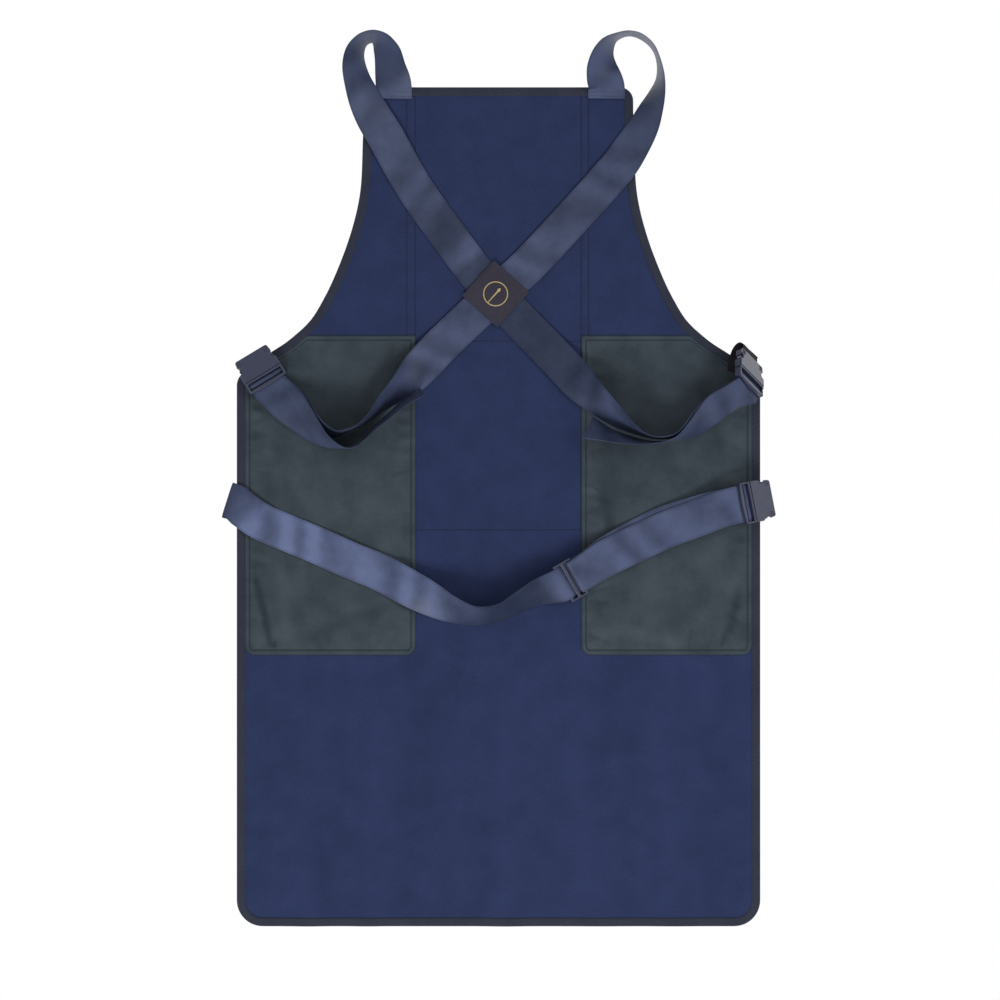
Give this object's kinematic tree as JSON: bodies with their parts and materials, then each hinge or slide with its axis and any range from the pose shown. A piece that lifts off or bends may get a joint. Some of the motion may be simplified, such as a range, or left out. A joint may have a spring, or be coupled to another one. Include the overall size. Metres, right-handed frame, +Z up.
{
  "type": "artist smock apron",
  "caption": "Cross-back artist's smock apron laid flat, with bound edges, hanging pocket bags, crossed webbing shoulder straps, a waist strap with a slider, and side-release buckles.",
  "frame": {"origin": "centre of the footprint on the ground under the apron as it lies flat, front side down", "axes": "+Y from the hem towards the bib, +X to the right seen from above, +Z up, out of the wearer's side"},
  "size_m": [0.5754, 0.9264, 0.0573],
  "materials": {
    "body_cloth": "tightly woven matte cotton twill",
    "pocket_lining": "thin plain-weave lining, matte",
    "edge_binding": "folded twill tape, matte",
    "webbing": "smooth woven webbing, satin",
    "grosgrain_tape": "ribbed grosgrain tape, matte",
    "patch_cloth": "dense woven patch, matte",
    "emblem_thread": "raised embroidery thread, satin",
    "moulded_plastic": "moulded acetal, semi-gloss"
  },
  "bodies": {
    "apron": {"centre_panel": "body_cloth", "centre_pocket": "body_cloth", "chest_pocket": "body_cloth", "cross_patch": "patch_cloth", "cross_patch_backing": "patch_cloth", "left_armhole_binding": "edge_binding", "left_pocket_bag": "pocket_lining", "left_pocket_welt": "edge_binding", "left_shoulder_strap": "webbing", "main_panel": "body_cloth", "neck_binding": "edge_binding", "patch_emblem": "emblem_thread", "right_armhole_binding": "edge_binding", "right_pocket_bag": "pocket_lining", "right_pocket_welt": "edge_binding", "right_shoulder_strap": "webbing", "skirt_binding": "edge_binding", "upper_left_buckle_female": "moulded_plastic", "upper_left_buckle_tab": "grosgrain_tape", "upper_right_buckle_female": "moulded_plastic", "upper_right_buckle_tab": "grosgrain_tape", "waist_buckle_female": "moulded_plastic", "waist_buckle_tab": "grosgrain_tape", "waist_strap": "webbing"},
    "upper_left_release": {"upper_left_buckle_male": "moulded_plastic"},
    "upper_left_prong_a": {"upper_left_buckle_prong_a": "moulded_plastic"},
    "upper_left_prong_b": {"upper_left_buckle_prong_b": "moulded_plastic"},
    "upper_right_release": {"upper_right_buckle_male": "moulded_plastic"},
    "upper_right_prong_a": {"upper_right_buckle_prong_a": "moulded_plastic"},
    "upper_right_prong_b": {"upper_right_buckle_prong_b": "moulded_plastic"},
    "waist_release": {"waist_buckle_male": "moulded_plastic"},
    "waist_prong_a": {"waist_buckle_prong_a": "moulded_plastic"},
    "waist_prong_b": {"waist_buckle_prong_b": "moulded_plastic"},
    "slider": {"strap_slider": "moulded_plastic"}
  },
  "joints": [
    {"name": "upper_left_buckle_slide", "type": "slide", "parent": "apron", "child": "upper_left_release", "axis": [0.5131, -0.8539, 0.0872], "range_m": [0, 0.022], "deforming": ["right_shoulder_strap", "upper_left_buckle_prong_a", "upper_left_buckle_prong_b"]},
    {"name": "upper_left_prong_a_squeeze", "type": "hinge", "parent": "upper_left_release", "child": "upper_left_prong_a", "pos_m": [-0.25431, 0.10306, 0.01256], "axis": [0.0449, -0.0747, -0.9962], "range_deg": [0, 8], "stiffness_Nm_per_rad": 0.05},
    {"name": "upper_left_prong_b_squeeze", "type": "hinge", "parent": "upper_left_release", "child": "upper_left_prong_b", "pos_m": [-0.23288, 0.11594, 0.01256], "axis": [-0.0449, 0.0747, 0.9962], "range_deg": [0, 8], "stiffness_Nm_per_rad": 0.05},
    {"name": "upper_right_buckle_slide", "type": "slide", "parent": "apron", "child": "upper_right_release", "axis": [-0.0412, -0.7869, 0.6157], "range_m": [0, 0.022], "deforming": ["left_shoulder_strap", "upper_right_buckle_prong_a", "upper_right_buckle_prong_b"]},
    {"name": "upper_right_prong_a_squeeze", "type": "hinge", "parent": "upper_right_release", "child": "upper_right_prong_a", "pos_m": [0.25079, 0.1121, 0.04265], "axis": [-0.8068, -0.3373, -0.4851], "range_deg": [0, 8], "stiffness_Nm_per_rad": 0.05},
    {"name": "upper_right_prong_b_squeeze", "type": "hinge", "parent": "upper_right_release", "child": "upper_right_prong_b", "pos_m": [0.26552, 0.09919, 0.02712], "axis": [0.8068, 0.3373, 0.4851], "range_deg": [0, 8], "stiffness_Nm_per_rad": 0.05},
    {"name": "waist_buckle_slide", "type": "slide", "parent": "apron", "child": "waist_release", "axis": [-0.8501, -0.1652, 0.5], "range_m": [0, 0.022], "deforming": ["waist_strap", "waist_buckle_prong_a", "waist_buckle_prong_b"]},
    {"name": "waist_prong_a_squeeze", "type": "hinge", "parent": "waist_release", "child": "waist_prong_a", "pos_m": [0.25848, -0.0102, 0.01897], "axis": [-0.4908, -0.0954, -0.866], "range_deg": [0, 8], "stiffness_Nm_per_rad": 0.05},
    {"name": "waist_prong_b_squeeze", "type": "hinge", "parent": "waist_release", "child": "waist_prong_b", "pos_m": [0.26325, -0.03474, 0.01897], "axis": [0.4908, 0.0954, 0.866], "range_deg": [0, 8], "stiffness_Nm_per_rad": 0.05},
    {"name": "strap_slider_slide", "type": "slide", "parent": "apron", "child": "slider", "axis": [0.8577, 0.4952, 0.1386], "range_m": [0, 0.03], "deforming": ["waist_strap"]}
  ],
  "couplings": [
    {"joint": "upper_left_prong_b_squeeze", "follows": "upper_left_prong_a_squeeze", "ratio": 1},
    {"joint": "upper_right_prong_b_squeeze", "follows": "upper_right_prong_a_squeeze", "ratio": 1},
    {"joint": "waist_prong_b_squeeze", "follows": "waist_prong_a_squeeze", "ratio": 1}
  ]
}
